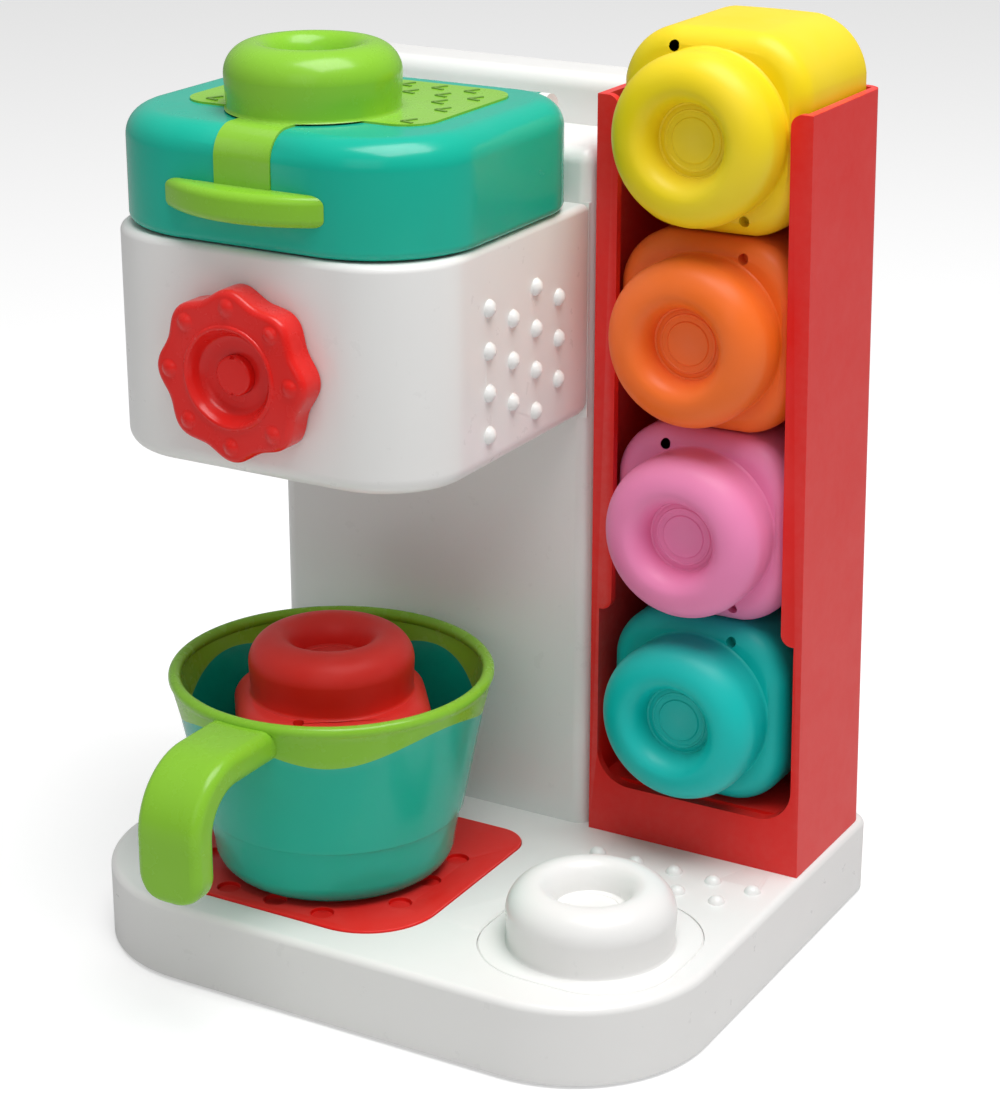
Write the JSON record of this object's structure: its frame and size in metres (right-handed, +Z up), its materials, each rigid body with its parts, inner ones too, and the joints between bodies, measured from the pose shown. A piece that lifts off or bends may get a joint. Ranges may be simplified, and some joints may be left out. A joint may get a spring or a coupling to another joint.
{
  "type": "toy coffee maker",
  "caption": "Toddler's pretend coffee maker: lidded pod head with a turning dial over a mug, beside an open rack of soft stacking pods, on a rounded base.",
  "frame": {"origin": "on the floor, centred under the bounding box", "axes": "+Z up, +Y to the back, +X to the right when facing the dial"},
  "size_m": [0.183, 0.1808, 0.2547],
  "materials": {
    "white": "satin moulded",
    "rubber": "matte",
    "steel": "brushed",
    "red": "semi gloss",
    "teal": "gloss",
    "green": "gloss",
    "grey": "matte",
    "door_white": "matte",
    "pod_red": "soft satin",
    "pod_teal": "soft satin",
    "pod_pink": "soft satin",
    "pod_orange": "soft satin",
    "pod_yellow": "soft satin"
  },
  "bodies": {
    "root": {"base_shell": "white", "base_plate": "white", "rubber_feet": "rubber", "base_screws": "steel", "stacking_ring": "white", "drip_tray": "red", "tower_shell": "white", "back_cover": "white", "cover_screws": "steel", "tower_screws": "steel", "rack_screws": "steel", "head_screws": "steel", "head_shell": "white", "chute": "white", "deck_screws": "steel", "detent_spring": "grey", "pod_rack": "red", "hinge_pins": "steel"},
    "lid": {"lid_shell": "teal", "lid_inlay": "green", "lid_stud": "green", "lid_screws": "steel"},
    "dial": {"dial": "red", "dial_cap": "red", "crank": "grey", "crank_screw": "steel"},
    "slider": {"door_slider": "grey"},
    "door_left": {"drop_door_left": "door_white", "pinion_left": "grey"},
    "door_right": {"drop_door_right": "door_white", "pinion_right": "grey"},
    "mug": {"mug_cup": "teal", "mug_rim": "green"},
    "red_pod": {"pod_red": "pod_red"},
    "teal_pod": {"pod_teal": "pod_teal"},
    "pink_pod": {"pod_pink": "pod_pink"},
    "orange_pod": {"pod_orange": "pod_orange"},
    "yellow_pod": {"pod_yellow": "pod_yellow"}
  },
  "joints": [
    {"name": "lid_hinge", "type": "hinge", "parent": "root", "child": "lid", "pos_m": [-0.0279, 0.04845, 0.2282], "axis": [-1, 0, 0], "range_deg": [0, 100]},
    {"name": "dial_turn", "type": "hinge", "parent": "root", "child": "dial", "pos_m": [-0.0279, -0.04695, 0.1754], "axis": [0, 1, 0], "range_deg": [0, 80]},
    {"name": "slider_drop", "type": "slide", "parent": "root", "child": "slider", "axis": [0, 0, -1], "range_m": [0, 0.01077]},
    {"name": "door_left_swing", "type": "hinge", "parent": "root", "child": "door_left", "pos_m": [-0.0589, 0.01595, 0.165], "axis": [0, 1, 0], "range_deg": [0, 88]},
    {"name": "door_right_swing", "type": "hinge", "parent": "root", "child": "door_right", "pos_m": [0.0031, 0.01595, 0.165], "axis": [0, -1, 0], "range_deg": [0, 88]},
    {"name": "mug_out", "type": "slide", "parent": "root", "child": "mug", "axis": [0, -1, 0], "range_m": [0, 0.11]},
    {"name": "red_pod_lift", "type": "slide", "parent": "mug", "child": "red_pod", "axis": [0, 0, 1], "range_m": [0, 0.03]},
    {"name": "teal_pod_out", "type": "slide", "parent": "root", "child": "teal_pod", "axis": [0, -1, 0], "range_m": [0, 0.038]},
    {"name": "pink_pod_lift", "type": "slide", "parent": "root", "child": "pink_pod", "axis": [0, 0, 1], "range_m": [0, 0.145]},
    {"name": "orange_pod_lift", "type": "slide", "parent": "pink_pod", "child": "orange_pod", "axis": [0, 0, 1], "range_m": [0, 0.09]},
    {"name": "yellow_pod_lift", "type": "slide", "parent": "orange_pod", "child": "yellow_pod", "axis": [0, 0, 1], "range_m": [0, 0.06]}
  ],
  "couplings": [
    {"joint": "slider_drop", "follows": "dial_turn", "m_per_rad": 0.0077},
    {"joint": "door_left_swing", "follows": "dial_turn", "ratio": 1.1},
    {"joint": "door_right_swing", "follows": "dial_turn", "ratio": 1.1}
  ]
}
